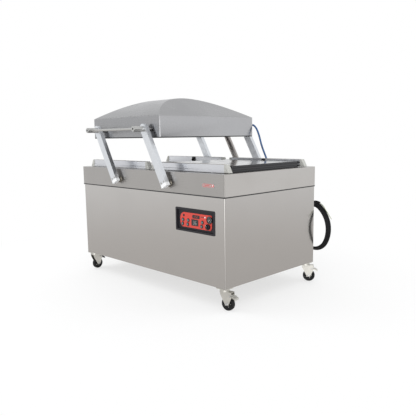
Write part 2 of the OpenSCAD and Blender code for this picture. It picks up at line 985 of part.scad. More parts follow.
module pedal(i) {
    hub_r = 6;
    half = fork_v - 1;
    tread = fork_v + fork_t + 3;
    shade = i == 0 ? "black" : "silver";
    on_caster(i) color(shade)
        translate([pedal_u, 0, pedal_z])
            difference() {
                union() {
                    bar_along_y(hub_r, -half, half);
                    sheet_xz(-half, half) polygon([[0, 5], [26, -9], [26, -14], [0, -1]]);
                    sheet_xz(-tread, tread)
                        polygon([[14, 0.5], [34, -11], [36, -20], [32, -21], [29, -14], [14, -5]]);
                }
                bar_along_y(pedal_pin_r + fit, -half - eps, half + eps);
            }
}

module front_left_fork() { fork(0); }
module front_left_wheel() { wheel(0); }
module front_left_pedal() { pedal(0); }
module front_right_fork() { fork(1); }
module front_right_wheel() { wheel(1); }
module front_right_pedal() { pedal(1); }
module rear_left_fork() { fork(2); }
module rear_left_wheel() { wheel(2); }
module rear_left_pedal() { pedal(2); }
module rear_right_fork() { fork(3); }
module rear_right_wheel() { wheel(3); }
module rear_right_pedal() { pedal(3); }

base_frame();
bottom_plate();
front_panel();
side_panels();
rear_panel();
table_top();
filler_boards();
seal_cylinders();
pivot_bushes();
control_frame();
control_skin();
display_windows();
gauge_case();
badge_plate();
mains_cable();
vacuum_pump();
pump_motor();
valve_block();
vacuum_pipes();
electrical_parts();
caster_plates();
panel_screws();
gauge_needle();
vacuum_knob();
button_1();
button_2();
button_3();
button_4();
button_5();
button_6();
right_arms();
right_arm_caps();
right_shaft();
air_hose();
left_arms();
left_arm_caps();
left_shaft();
centre_link();
lid_shell();
lid_gasket();
counter_bars();
lid_pins();
handle_posts();
handle_rod();
left_seal_bars();
left_bar_caps();
right_seal_bars();
right_bar_caps();
front_left_fork();
front_left_wheel();
front_left_pedal();
front_right_fork();
front_right_wheel();
front_right_pedal();
rear_left_fork();
rear_left_wheel();
rear_left_pedal();
rear_right_fork();
rear_right_wheel();
rear_right_pedal();
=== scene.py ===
"""Looks of the vacuum packing machine: materials, fine parts, camera and studio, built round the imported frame."""
import math

import bpy
import bmesh
from mathutils import Matrix, Vector

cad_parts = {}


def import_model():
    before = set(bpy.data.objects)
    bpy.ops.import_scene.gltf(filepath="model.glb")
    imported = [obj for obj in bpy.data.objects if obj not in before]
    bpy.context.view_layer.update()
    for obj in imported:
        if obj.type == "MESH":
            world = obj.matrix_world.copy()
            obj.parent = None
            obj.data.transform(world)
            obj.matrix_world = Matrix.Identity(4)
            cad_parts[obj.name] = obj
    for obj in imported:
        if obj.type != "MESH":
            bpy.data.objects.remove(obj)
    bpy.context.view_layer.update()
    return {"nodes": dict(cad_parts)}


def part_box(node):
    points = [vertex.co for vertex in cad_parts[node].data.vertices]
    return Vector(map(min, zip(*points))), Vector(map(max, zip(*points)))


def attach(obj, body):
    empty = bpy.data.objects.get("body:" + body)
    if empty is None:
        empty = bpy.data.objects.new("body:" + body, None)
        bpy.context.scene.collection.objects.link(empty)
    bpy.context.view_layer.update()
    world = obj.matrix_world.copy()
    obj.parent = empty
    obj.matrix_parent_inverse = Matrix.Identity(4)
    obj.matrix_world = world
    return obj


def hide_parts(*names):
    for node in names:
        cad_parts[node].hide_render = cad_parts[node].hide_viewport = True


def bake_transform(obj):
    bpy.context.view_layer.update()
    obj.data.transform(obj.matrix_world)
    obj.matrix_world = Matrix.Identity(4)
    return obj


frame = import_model()
NODES = frame["nodes"]
MM = 0.001


# ---- node trees ----

def tree(name):
    """A new material: (material, node tree, its shader)."""
    mat = bpy.data.materials.new(name)
    mat.use_nodes = True
    nt = mat.node_tree
    return mat, nt, nt.nodes["Principled BSDF"]


def add(nt, kind, values=None, **settings):
    """A node with its settings and its input values by socket name."""
    n = nt.nodes.new("ShaderNode" + kind)
    for key, value in settings.items():
        setattr(n, key, value)
    for key, value in (values or {}).items():
        n.inputs[key].default_value = value
    return n


def math_node(nt, operation, a, b):
    n = add(nt, "Math", operation=operation)
    for socket, value in zip(n.inputs, (a, b)):
        if isinstance(value, (int, float)):
            socket.default_value = value
        else:
            nt.links.new(value, socket)
    return n.outputs[0]


def ramp(nt, value, low, high, start=0.0, end=1.0):
    """Maps value from start..end to low..high, held at both ends."""
    n = add(nt, "MapRange", {"From Min": start, "From Max": end, "To Min": low, "To Max": high})
    nt.links.new(value, n.inputs["Value"])
    return n.outputs["Result"]


def noise(nt, size, stretch=(1, 1, 1), detail=3.0, rough=0.55):
    """Noise whose features are about size metres, stretched along each axis."""
    coord = add(nt, "TexCoord")
    scale = tuple(1 / (size * s) for s in stretch)
    mapping = add(nt, "Mapping", {"Scale": scale})
    tex = add(nt, "TexNoise", {"Scale": 1.0, "Detail": detail, "Roughness": rough})
    nt.links.new(coord.outputs["Object"], mapping.inputs["Vector"])
    nt.links.new(mapping.outputs["Vector"], tex.inputs["Vector"])
    return tex.outputs["Fac"]


def edge_mask(nt, radius):
    """Near 1 along sharp edges, 0 on flat faces."""
    bevel = add(nt, "Bevel", {"Radius": radius}, samples=4)
    geo = add(nt, "NewGeometry")
    dot = add(nt, "VectorMath", operation="DOT_PRODUCT")
    nt.links.new(bevel.outputs["Normal"], dot.inputs[0])
    nt.links.new(geo.outputs["Normal"], dot.inputs[1])
    return ramp(nt, dot.outputs["Value"], 1.0, 0.0, 0.72, 0.98)


def mix_colour(nt, factor, a, b):
    """Colour between a and b; each is an RGB triple or a socket."""
    n = add(nt, "Mix", data_type="RGBA")
    if isinstance(factor, (int, float)):
        n.inputs["Factor"].default_value = factor
    else:
        nt.links.new(factor, n.inputs["Factor"])
    for socket, value in ((n.inputs[6], a), (n.inputs[7], b)):
        if isinstance(value, tuple):
            socket.default_value = (*value, 1)
        else:
            nt.links.new(value, socket)
    return n.outputs[2]


def set_bump(nt, shader, height, distance, strength=1.0):
    n = add(nt, "Bump", {"Strength": strength, "Distance": distance})
    nt.links.new(height, n.inputs["Height"])
    nt.links.new(n.outputs["Normal"], shader.inputs["Normal"])


def painted_facing_shade(nt, front, side, fold, foot=1.0):
    """Painted shading of a folded sheet: brightness front where it looks forwards or up, side where it looks
    sideways, times fold where it turns a corner (painted shade below 1, painted highlight above), and times foot,
    painted shade at the cabinet's foot."""
    geo = add(nt, "NewGeometry")
    facing, spot = add(nt, "SeparateXYZ"), add(nt, "SeparateXYZ")
    nt.links.new(geo.outputs["Normal"], facing.inputs[0])
    nt.links.new(geo.outputs["Position"], spot.inputs[0])
    across = math_node(nt, "ABSOLUTE", facing.outputs["X"], 0.0)
    along = math_node(nt, "ABSOLUTE", facing.outputs["Y"], 0.0)
    turn = ramp(nt, math_node(nt, "MULTIPLY", across, along), 1.0, fold, 0.05, 0.4)
    cabinet_low, cabinet_high = 0.13, 0.66
    fall = ramp(nt, spot.outputs["Z"], foot, 1.0, cabinet_low, cabinet_high)
    return math_node(nt, "MULTIPLY", ramp(nt, across, front, side, 0.62, 0.95),
                     math_node(nt, "MULTIPLY", turn, fall))


def scaled(nt, colour, factor):
    """Colour times a factor from a socket."""
    n = add(nt, "VectorMath", operation="SCALE")
    nt.links.new(colour, n.inputs[0])
    nt.links.new(factor, n.inputs["Scale"])
    return n.outputs["Vector"]


# ---- materials ----

def brushed_steel(name, tint, rough=0.3, grain="z", edge=2.5 * MM, edge_lift=0.35, grain_size=0.6 * MM,
                  streak=1.0, painted_shading=None):
    """Rolled and brushed sheet: fine grain along one axis, faint smears, brighter folds that are partly rubbed wear
    and partly a painted highlight.
    """
    mat, nt, shader = tree(name)
    shader.inputs["Metallic"].default_value = 1.0
    grain_run, streak_run = 160, 60
    stretch = tuple(grain_run if axis == grain else 1 for axis in "xyz")
    fine = noise(nt, grain_size, stretch, 2.0)
    long_streak = noise(nt, 6 * MM, tuple(min(s, streak_run) for s in stretch), 2.0)
    smear = noise(nt, 0.22, detail=4.0)
    light = tuple(min(c * (1 + 0.05 * streak), 1) for c in tint)
    dark = tuple(c * (1 - 0.07 * streak) for c in tint)
    colour = mix_colour(nt, ramp(nt, fine, 0.0, 1.0, 0.25, 0.75), dark, light)
    colour = mix_colour(nt, ramp(nt, smear, 0.0, 0.16, 0.4, 0.7), colour, tuple(c * 0.9 for c in tint))
    colour = mix_colour(nt, ramp(nt, long_streak, 0.0, 0.1, 0.5, 0.75), colour, light)
    # edges lifted towards a brighter tint: partly rubbed wear, partly a painted highlight on the folds
    bright = tuple(min(c * 1.35, 1) for c in tint)
    mask = edge_mask(nt, edge)
    colour = mix_colour(nt, math_node(nt, "MULTIPLY", mask, edge_lift), colour, bright)
    # painted shading: colour scaled by which way each face looks, at its folded corners and towards the cabinet's
    # foot
    if painted_shading:
        colour = scaled(nt, colour, painted_facing_shade(nt, *painted_shading))
    nt.links.new(colour, shader.inputs["Base Color"])
    base = ramp(nt, fine, rough - 0.06 * streak, rough + 0.08 * streak, 0.3, 0.7)
    base = math_node(nt, "ADD", base, ramp(nt, smear, -0.03, 0.05, 0.35, 0.7))
    base = math_node(nt, "SUBTRACT", base, math_node(nt, "MULTIPLY", mask, 0.06))
    nt.links.new(base, shader.inputs["Roughness"])
    shader.inputs["Anisotropic"].default_value = 0.4
    tangent = add(nt, "Tangent", direction_type="RADIAL", axis=grain.upper())
    nt.links.new(tangent.outputs["Tangent"], shader.inputs["Tangent"])
    set_bump(nt, shader, fine, 0.02 * MM, 0.5)
    return mat


def plain_metal(name, tint, rough, size=0.9 * MM, edge_lift=0.4, spots=0.15):
    """Cast, plated, turned or anodised metal: fine speckle, blotches and rubbed edges."""
    mat, nt, shader = tree(name)
    shader.inputs["Metallic"].default_value = 1.0
    speck = noise(nt, size, detail=5.0)
    blot = noise(nt, 28 * MM, detail=4.0)
    colour = mix_colour(nt, ramp(nt, blot, 0.0, spots * 2, 0.35, 0.7), tint, tuple(c * 0.72 for c in tint))
    colour = mix_colour(nt, ramp(nt, speck, 0.0, 0.3, 0.45, 0.75), colour, tuple(c * 0.85 for c in tint))
    mask = edge_mask(nt, 1.2 * MM)
    worn = tuple(min(c * 1.3 + 0.03, 1) for c in tint)
    colour = mix_colour(nt, math_node(nt, "MULTIPLY", mask, edge_lift), colour, worn)
    nt.links.new(colour, shader.inputs["Base Color"])
    base = ramp(nt, speck, rough - 0.05, rough + 0.1, 0.3, 0.7)
    base = math_node(nt, "ADD", base, ramp(nt, blot, -0.02, 0.08, 0.3, 0.7))
    nt.links.new(base, shader.inputs["Roughness"])
    set_bump(nt, shader, speck, 0.03 * MM, 0.4)
    return mat


def moulded(name, colour, rough=0.4, grain=0.5 * MM, depth=0.04 * MM, coat=0.0, edge_lift=0.25, dust=0.15,
            shine=0.5):
    """Moulded plastic, rubber or paint: fine leather grain, faint dust and paler rubbed edges."""
    mat, nt, shader = tree(name)
    fine = noise(nt, grain, detail=3.0)
    cloud = noise(nt, 60 * MM, detail=4.0)
    pale = tuple(c * 0.75 + 0.14 for c in colour)
    tone = mix_colour(nt, ramp(nt, cloud, 0.0, dust, 0.4, 0.75), colour, tuple(c * 0.9 + 0.03 for c in colour))
    tone = mix_colour(nt, ramp(nt, fine, 0.0, 0.12, 0.4, 0.7), tone, tuple(c * 0.8 for c in colour))
    mask = edge_mask(nt, 0.9 * MM)
    tone = mix_colour(nt, math_node(nt, "MULTIPLY", mask, edge_lift), tone, pale)
    nt.links.new(tone, shader.inputs["Base Color"])
    base = ramp(nt, fine, rough - 0.04, rough + 0.08, 0.3, 0.7)
    base = math_node(nt, "ADD", base, ramp(nt, cloud, -0.03, 0.07, 0.35, 0.7))
    nt.links.new(base, shader.inputs["Roughness"])
    shader.inputs["Specular IOR Level"].default_value = shine
    shader.inputs["Coat Weight"].default_value = coat
    shader.inputs["Coat Roughness"].default_value = 0.12
    set_bump(nt, shader, fine, depth, 0.5)
    return mat


def glowing(name, colour, power):
    """Lit segment of a display, uneven like a real lamp behind its window."""
    mat, nt, shader = tree(name)
    cloud = noise(nt, 4 * MM)
    shader.inputs["Base Color"].default_value = (*(c * 0.3 for c in colour), 1)
    shader.inputs["Emission Color"].default_value = (*colour, 1)
    nt.links.new(ramp(nt, cloud, power * 0.7, power * 1.2, 0.3, 0.7), shader.inputs["Emission Strength"])
    return mat


def clear_window(name, tint=(0.9, 0.92, 0.92), rough=0.05):
    """Thin clear plastic with faint scratches."""
    mat, nt, shader = tree(name)
    scratch = noise(nt, 1.5 * MM, (12, 1, 12))
    shader.inputs["Base Color"].default_value = (*tint, 1)
    shader.inputs["Transmission Weight"].default_value = 1.0
    shader.inputs["IOR"].default_value = 1.3
    nt.links.new(ramp(nt, scratch, rough, rough + 0.12, 0.6, 0.8), shader.inputs["Roughness"])
    return mat


STEEL = (0.47, 0.455, 0.44)
M = {
    # panel, table and lid steel carry painted shading: each face lighter or darker by which way it looks, at its
    # folds and towards the foot
    "panel": brushed_steel("panel_steel", STEEL, 0.13, "z", edge_lift=0.15, streak=0.4, painted_shading=(1.08, 1.045, 0.8, 0.9)),
    "skirt": brushed_steel("table_steel", STEEL, 0.3, "x", edge_lift=0.05, streak=0.6, painted_shading=(0.865, 1.14, 0.6)),
    "lid": brushed_steel("lid_steel", (0.455, 0.455, 0.465), 0.28, "x", streak=0.7, painted_shading=(0.76, 1.0, 1.25)),
    "frame": brushed_steel("frame_steel", (0.42, 0.42, 0.41), 0.4, "z"),
    "handle": brushed_steel("turned_steel", (0.52, 0.52, 0.51), 0.28, "y", 1.0 * MM),
    "shaft": plain_metal("ground_steel", (0.36, 0.36, 0.36), 0.3),
    "link": plain_metal("polished_tube", (0.45, 0.42, 0.4), 0.33, edge_lift=0.2),
    "arm": plain_metal("anodised_arm", (0.74, 0.76, 0.79), 0.34, 0.7 * MM, 0.3, 0.05),
    "bar": brushed_steel("extruded_bar", (0.68, 0.69, 0.72), 0.3, "x", 0.8 * MM, 0.25, 0.4 * MM),
    "zinc": plain_metal("zinc_plate", (0.62, 0.61, 0.57), 0.3, 1.4 * MM, 0.35, 0.3),
    "brass": plain_metal("bronze", (0.36, 0.34, 0.3), 0.35),
    "screw": plain_metal("screw_steel", (0.55, 0.55, 0.55), 0.28),
    "screw_warm": plain_metal("screw_passivated", (0.62, 0.57, 0.48), 0.3),
    "cap_white": moulded("cap_white", (0.78, 0.79, 0.8), 0.45),
    "cap_cream": moulded("cap_cream", (0.46, 0.46, 0.435), 0.45),
    "board": moulded("board_black", (0.008, 0.008, 0.011), 0.08, 1.2 * MM, 0.006 * MM, 0.0, 0.12, 0.03),
    "gasket": moulded("gasket_rubber", (0.016, 0.016, 0.017), 0.55),
    "black": moulded("panel_black", (0.012, 0.011, 0.015), 0.45, 0.7 * MM, edge_lift=0.15, dust=0.08, shine=0.34),
    "red": moulded("skin_red", (0.57, 0.05, 0.034), 0.36, 0.4 * MM, 0.01 * MM, 0.1, 0.1, 0.15, 0.4),
    "window": moulded("window_dark", (0.016, 0.016, 0.02), 0.15, 2 * MM, 0.005 * MM, 0.3, 0.1, 0.08, 0.3),
    "badge": moulded("badge_red", (0.55, 0.045, 0.04), 0.2, 2 * MM, 0.005 * MM, 0.7, 0.1),
    "badge_rim": plain_metal("badge_rim", (0.5, 0.47, 0.46), 0.25),
    "cable": moulded("cable_rubber", (0.005, 0.005, 0.006), 0.42, 1.0 * MM, 0.05 * MM, edge_lift=0.1, dust=0.05,
                     shine=0.16),
    "hose": moulded("hose_blue", (0.008, 0.07, 0.21), 0.25, 1.5 * MM, 0.01 * MM, 0.4, 0.1),
    "wheel": moulded("wheel_black", (0.006, 0.006, 0.007), 0.42, 0.6 * MM, edge_lift=0.15, dust=0.08, shine=0.25),
    "tread": moulded("tread_black", (0.01, 0.01, 0.011), 0.55, 0.5 * MM, edge_lift=0.15, dust=0.1, shine=0.2),
    "teal": moulded("button_teal", (0.018, 0.032, 0.036), 0.3, 1.0 * MM, 0.01 * MM, 0.1),
    "needle": moulded("needle_white", (0.75, 0.75, 0.72), 0.3),
    "dial": moulded("dial_grey", (0.04, 0.038, 0.042), 0.5),
    "tick": moulded("tick_grey", (0.26, 0.24, 0.27), 0.5),
    "face_teal": moulded("face_teal", (0.1, 0.18, 0.19), 0.35, 1.0 * MM, 0.01 * MM),
    "lamp": moulded("lamp_dark", (0.05, 0.012, 0.014), 0.2, 1.0 * MM, 0.01 * MM, 0.3),
    "tape": moulded("tape_tan", (0.33, 0.31, 0.28), 0.4, 0.4 * MM, 0.05 * MM, 0.2),
    "pump": moulded("pump_blue", (0.03, 0.09, 0.2), 0.35, 1.5 * MM, 0.15 * MM, 0.3),
    "motor": moulded("motor_grey", (0.07, 0.08, 0.085), 0.4, 1.5 * MM, 0.12 * MM, 0.2),
    "block": plain_metal("machined_block", (0.6, 0.61, 0.63), 0.3),
    "pipe": moulded("pipe_rubber", (0.025, 0.025, 0.025), 0.5),
    "board_green": moulded("board_green", (0.015, 0.11, 0.05), 0.3, 1 * MM, 0.02 * MM, 0.4),
    "digit": glowing("digit_red", (1.0, 0.1, 0.06), 0.22),
    "pixel": glowing("pixel_grey", (0.6, 0.62, 0.58), 0.3),
    "glass": clear_window("gauge_glass"),
    "wire_blue": moulded("wire_blue", (0.035, 0.1, 0.13), 0.35),
    "wire_brown": moulded("wire_brown", (0.16, 0.07, 0.035), 0.35),
    "wire_yellow": moulded("wire_yellow", (0.42, 0.45, 0.3), 0.35),
    "copper": plain_metal("copper", (0.42, 0.36, 0.3), 0.35),
}

# CAD node: (material, bevel in mm)
FINISH = {
    "base_frame": ("frame", 1.2), "bottom_plate": ("frame", 0), "front_panel": ("panel", 0.8),
    "side_panels": ("panel", 0.8), "rear_panel": ("panel", 0.4), "table_top": ("skirt", 2.0),
    "seal_cylinders": ("zinc", 0.6), "pivot_bushes": ("brass", 0.6), "control_frame": ("black", 0.9),
    "control_skin": ("red", 0.3), "display_windows": ("window", 0.4), "gauge_case": ("black", 0.5),
    "vacuum_pump": ("pump", 2.0), "pump_motor": ("motor", 1.0), "valve_block": ("block", 1.0),
    "vacuum_pipes": ("pipe", 0), "electrical_parts": ("board_green", 0.5), "caster_plates": ("zinc", 0.6),
    "panel_screws": ("screw", 0.6), "gauge_needle": ("needle", 0), "vacuum_knob": ("black", 1.0),
    "right_arms": ("arm", 1.6), "left_arms": ("arm", 1.6), "right_arm_caps": ("cap_white", 1.6),
    "left_arm_caps": ("cap_white", 1.6), "right_shaft": ("shaft", 0.5), "left_shaft": ("shaft", 0.5),
    "centre_link": ("link", 0.8), "lid_shell": ("lid", 1.6), "lid_gasket": ("gasket", 1.5),
    "counter_bars": ("bar", 0.8), "lid_pins": ("shaft", 0.8), "handle_posts": ("handle", 0.8),
    "handle_rod": ("handle", 0.8), "left_seal_bars": ("bar", 0.5), "right_seal_bars": ("bar", 0.5),
    "left_bar_caps": ("cap_cream", 1.2), "right_bar_caps": ("cap_cream", 1.2),
    "front_left_fork": ("zinc", 0.7), "front_right_fork": ("zinc", 0.7), "rear_left_fork": ("zinc", 0.7),
    "rear_right_fork": ("zinc", 0.7), "front_left_pedal": ("black", 0.8), "front_right_pedal": ("zinc", 0.8),
    "rear_left_pedal": ("zinc", 0.8), "rear_right_pedal": ("zinc", 0.8),
}
for i in range(1, 7):
    FINISH["button_%d" % i] = ("teal", 0.8)


def finish(obj, material, bevel):
    """Gives a CAD node its material, welded faces and small edge radii."""
    mesh = obj.data
    if "custom_normal" in mesh.attributes:
        mesh.attributes.remove(mesh.attributes["custom_normal"])
    mesh.polygons.foreach_set("use_smooth", [True] * len(mesh.polygons))
    mesh.materials.clear()
    mesh.materials.append(material)
    weld = obj.modifiers.new("weld", "WELD")
    weld.merge_threshold = 0.005 * MM
    round_edges(obj, bevel)


def round_edges(obj, bevel, angle=24, segments=2):
    if bevel:
        mod = obj.modifiers.new("edges", "BEVEL")
        mod.width = bevel * MM
        mod.segments = segments
        mod.limit_method = "ANGLE"
        mod.angle_limit = math.radians(angle)
        mod.miter_outer = "MITER_ARC"
        mod.harden_normals = False
        even = obj.modifiers.new("normals", "WEIGHTED_NORMAL")
        even.keep_sharp = True
        even.weight = 60
    else:
        split = obj.modifiers.new("split", "EDGE_SPLIT")
        split.split_angle = math.radians(angle + 6)


for name, (material, bevel) in FINISH.items():
    finish(NODES[name], M[material], bevel)


# ---- building blocks, in millimetres from the middle of the table ----

table_low, table_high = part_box("table_top")
SHIFT = Vector(((table_low.x + table_high.x) / 2, (table_low.y + table_high.y) / 2, 0)) / MM


RIGHT, UP, OUT, BACK = (1, 0, 0), (0, 0, 1), (0, -1, 0), (0, 1, 0)

# the CAD's own measures
BODY_X, BODY_Y, BODY_LOW, BODY_HIGH = 721, 436, 132, 690
CUT_LEFT, CUT_RIGHT, CUT_LOW, CUT_HIGH = 321, 638, 436, 562
CHAMBER_X = 357
BOARD_W, BOARD_D = 630, 640
BAR_Y, BAR_TOP = 363, 830
PIVOT_X, PIVOT_Z, ARM_LEAN = 260, 709, 29
ARM_IN, ARM_OUT = 459.5, 487.5
LID_Y, TABLE_Y = 438, 440
HOSE_R, HOSE_Y = 6.8, 452.5
CASTER_X, CASTER_Y, PLATE_Z = 683, 401, 126.05
AXLE_Z, TRAIL, PEDAL_Z, PEDAL_OUT, PEDAL_DROP = 40, 24, 90, 46, 0.575
PANEL_X, PANEL_Z = 313, 570
GAUGE, KNOB = (285, 55), (272, 96)


def place(x, y, z):
    return (Vector((x, y, z)) + SHIFT) * MM


def piece(name, verts, faces, material, body, smooth=True):
    """Mesh from points in metres, riding on a body."""
    mesh = bpy.data.meshes.new(name)
    mesh.from_pydata([tuple(v) for v in verts], [], faces)
    bm = bmesh.new()
    bm.from_mesh(mesh)
    bmesh.ops.recalc_face_normals(bm, faces=bm.faces)
    bm.to_mesh(mesh)
    bm.free()
    mesh.polygons.foreach_set("use_smooth", [smooth] * len(mesh.polygons))
    obj = bpy.data.objects.new(name, mesh)
    bpy.context.scene.collection.objects.link(obj)
    mesh.materials.append(M[material])
    if body:
        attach(obj, body)
    return obj


def axes(direction):
    """Two unit vectors square to direction and to each other."""
    d = Vector(direction).normalized()
    side = Vector((0, 0, 1)) if abs(d.z) < 0.9 else Vector((1, 0, 0))
    u = side.cross(d).normalized()
    return d, u, d.cross(u)


def lathe(name, profile, centre, direction, material, body, steps=56):
    """Turned part: profile is (radius, distance along direction) in mm, from centre."""
    d, u, v = axes(direction)
    verts, faces, rings = [], [], []
    for r, along in profile:
        base = Vector(centre) + d * along * MM
        if r < 1e-6:
            rings.append([len(verts)])
            verts.append(base)
            continue
        rings.append(list(range(len(verts), len(verts) + steps)))
        for k in range(steps):
            a = math.tau * k / steps
            verts.append(base + (u * math.cos(a) + v * math.sin(a)) * r * MM)
    for a, b in zip(rings, rings[1:]):
        for k in range(steps):
            loop = [a[k % len(a)], a[(k + 1) % len(a)], b[(k + 1) % len(b)], b[k % len(b)]]
            face = list(dict.fromkeys(loop))
            if len(face) > 2:
                faces.append(face)
    obj = piece(name, verts, faces, material, body)
    round_edges(obj, 0.3, 30, 1)
    return obj


def prism(name, outline, centre, u, v, depth, material, body, bevel=0.5):
    """Flat outline (mm along u and v from centre), drawn out by depth mm along u x v, both ways."""
    u, v = Vector(u).normalized(), Vector(v).normalized()
    n = u.cross(v)
    count = len(outline)
    verts = []
    for s in (-0.5, 0.5):
        for a, b in outline:
            verts.append(Vector(centre) + (u * a + v * b + n * s * depth) * MM)
    faces = [list(range(count))[::-1], list(range(count, 2 * count))]
    faces += [[k, (k + 1) % count, count + (k + 1) % count, count + k] for k in range(count)]
    obj = piece(name, verts, faces, material, body)
    round_edges(obj, bevel, 30)
    return obj


def rounded(w, h, r, steps=6):
    """Outline of a rectangle with round corners, centred."""
    out = []
    for sx, sy, start in ((1, 1, 0), (-1, 1, 90), (-1, -1, 180), (1, -1, 270)):
        for k in range(steps + 1):
            a = math.radians(start + 90 * k / steps)
            out.append((sx * (w / 2 - r) + r * math.cos(a), sy * (h / 2 - r) + r * math.sin(a)))
    return out


def circle(r, steps=32, phase=0.0):
    return [(r * math.cos(math.tau * k / steps + phase), r * math.sin(math.tau * k / steps + phase))
            for k in range(steps)]


def slab(name, low, high, material, body, bevel=0.5):
    """Box between two corners in table millimetres, with rounded edges."""
    size = [b - a for a, b in zip(low, high)]
    mid = place(*[(a + b) / 2 for a, b in zip(low, high)])
    outline = rounded(size[0], size[1], 0.01, 1)
    return prism(name, outline, mid, RIGHT, BACK, size[2], material, body, bevel)


def smooth_path(points, per=10):
    """Catmull-Rom curve through points."""
    pts = [Vector(p) for p in points]
    pts = [2 * pts[0] - pts[1]] + pts + [2 * pts[-1] - pts[-2]]
    out = []
    for i in range(1, len(pts) - 2):
        a, b, c, d = pts[i - 1], pts[i], pts[i + 1], pts[i + 2]
        for k in range(per):
            t = k / per
            out.append(0.5 * (2 * b + (c - a) * t + (2 * a - 5 * b + 4 * c - d) * t * t
                              + (3 * b - a - 3 * c + d) * t ** 3))
    out.append(pts[-2])
    return out


def tube(name, path, radius, material, body, sides=16):
    """Round tube along a path in metres; radius in mm, or one radius per point."""
    verts, faces = [], []
    normal = None
    for i, p in enumerate(path):
        ahead = path[min(i + 1, len(path) - 1)] - path[max(i - 1, 0)]
        t = ahead.normalized()
        if normal is None:
            normal = axes(t)[1]
        normal = (normal - t * normal.dot(t)).normalized()
        side = t.cross(normal)
        r = (radius[i] if isinstance(radius, list) else radius) * MM
        for k in range(sides):
            a = math.tau * k / sides
            verts.append(p + (normal * math.cos(a) + side * math.sin(a)) * r)
    for i in range(len(path) - 1):
        for k in range(sides):
            a, b = i * sides + k, i * sides + (k + 1) % sides
            faces.append([a, b, b + sides, a + sides])
    faces.append(list(range(sides))[::-1])
    last = (len(path) - 1) * sides
    faces.append(list(range(last, last + sides)))
    return piece(name, verts, faces, material, body)


def stands_for(nodes, *objs):
    for obj in objs:
        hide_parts(*nodes)


# ---- body: bent front and side sheet ----

def body_wrap():
    """One sheet round the left, front and right, bent at the front corners, cut out for the panel."""
    x, y, r = BODY_X, BODY_Y, 8
    path = [(-x, y - 2), (-x, -y + r)]
    for k in range(1, 9):
        a = math.radians(180 + 90 * k / 8)
        path.append((-x + r + r * math.cos(a), -y + r + r * math.sin(a)))
    hole = len(path)
    path += [(CUT_LEFT, -y), (CUT_RIGHT, -y), (x - r, -y)]
    for k in range(1, 9):
        a = math.radians(270 + 90 * k / 8)
        path.append((x - r + r * math.cos(a), -y + r + r * math.sin(a)))
    path.append((x, y - 2))
    levels = [BODY_LOW, CUT_LOW, CUT_HIGH, BODY_HIGH]
    verts = [place(px, py, z) for px, py in path for z in levels]
    faces = []
    for i in range(len(path) - 1):
        for k in range(3):
            if i == hole and k == 1:
                continue
            a = i * 4 + k
            faces.append([a, a + 4, a + 5, a + 1])
    obj = piece("body_sheet", verts, faces, "panel", "root")
    thick = obj.modifiers.new("thickness", "SOLIDIFY")
    thick.thickness = 2 * MM
    thick.offset = -1
    round_edges(obj, 0.6, 40)
    stands_for(["front_panel", "side_panels"], obj)


body_wrap()


def painted_skirt_shadow():
    """Painted shadow: dark strips in the step between the body and the skirt's folded lower edge, where there is
    only shade.
    """
    low, high = 648, 656
    gap, out = 0.3, 3
    x, y = BODY_X, BODY_Y
    walls = (((-x - out, -y - out, low), (x + out, -y - gap, high)),
             ((x + gap, -y - out, low), (x + out, y + out, high)),
             ((-x - out, -y - out, low), (-x - gap, y + out, high)),
             ((-x - out, y + gap, low), (x + out, y + out, high)))
    for k, (near, far) in enumerate(walls):
        # each strip is a dark gasket-rubber sheet standing in for the shade under the skirt's edge
        slab("skirt_painted_shadow_%d" % (k + 1), near, far, "gasket", "root", 0)


painted_skirt_shadow()


# ---- table: stacked filler boards ----

for k, (shrink, z0, z1) in enumerate(((0, 780.2, 793), (1.5, 793.4, 806.4), (0.6, 806.8, 820))):
    board = prism("filler_board_%d" % (k + 1), rounded(BOARD_W - shrink, BOARD_D - shrink, 8),
                  place(CHAMBER_X, 0, (z0 + z1) / 2), RIGHT, BACK, z1 - z0, "board", "root", 1.2)
    stands_for(["filler_boards"], board)


# ---- seal bars: sealing wire, tape and gas nozzle ----

for side, sign in (("left", -1), ("right", 1)):
    body = side + "_bars"
    for end, sy in (("front", -1), ("rear", 1)):
        x, y = sign * CHAMBER_X, sy * BAR_Y
        tape_half, tape_edge, wire_half, wire_gap = 306, 12, 305, 3.5
        outline = [(-tape_half, -tape_edge), (tape_half, -tape_edge), (tape_half, tape_edge),
                   (-tape_half, tape_edge)]
        prism("seal_tape_%s_%s" % (side, end), outline, place(x, y, BAR_TOP), RIGHT, BACK, 0.4, "tape", body, 0.1)
        for k, dy in enumerate((-wire_gap, wire_gap)):
            path = [place(x + dx, y + dy, BAR_TOP - 0.4) for dx in (-wire_half, 0, wire_half)]
            tube("seal_wire_%s_%s_%d" % (side, end, k + 1), path, 0.8, "copper", body, 8)
    block = place(sign * CHAMBER_X, BAR_Y - 20, BAR_TOP - 19)
    prism("nozzle_block_" + side, rounded(20, 36, 5), block, RIGHT, UP, 10, "black", body, 1)
    nozzle = [(0, 0), (5, 0), (5, 5), (6, 6), (6, 9), (5, 10), (2.5, 10), (2.5, 6), (0, 6)]
    lathe("gas_nozzle_" + side, nozzle, place(sign * CHAMBER_X, BAR_Y - 24, BAR_TOP - 24), OUT, "black", body)


# ---- arms: clamp screws in the pockets above each shaft ----

def arm_frame(x):
    """A function from a point on an arm, in its own coordinates, to the row frame, and the arm's direction."""
    a = math.radians(ARM_LEAN)
    across, along = Vector((math.cos(a), 0, math.sin(a))), Vector((-math.sin(a), 0, math.cos(a)))

    def spot(u, y, w):
        return place(x, y, PIVOT_Z) + (across * u + along * w) * MM

    return spot, along


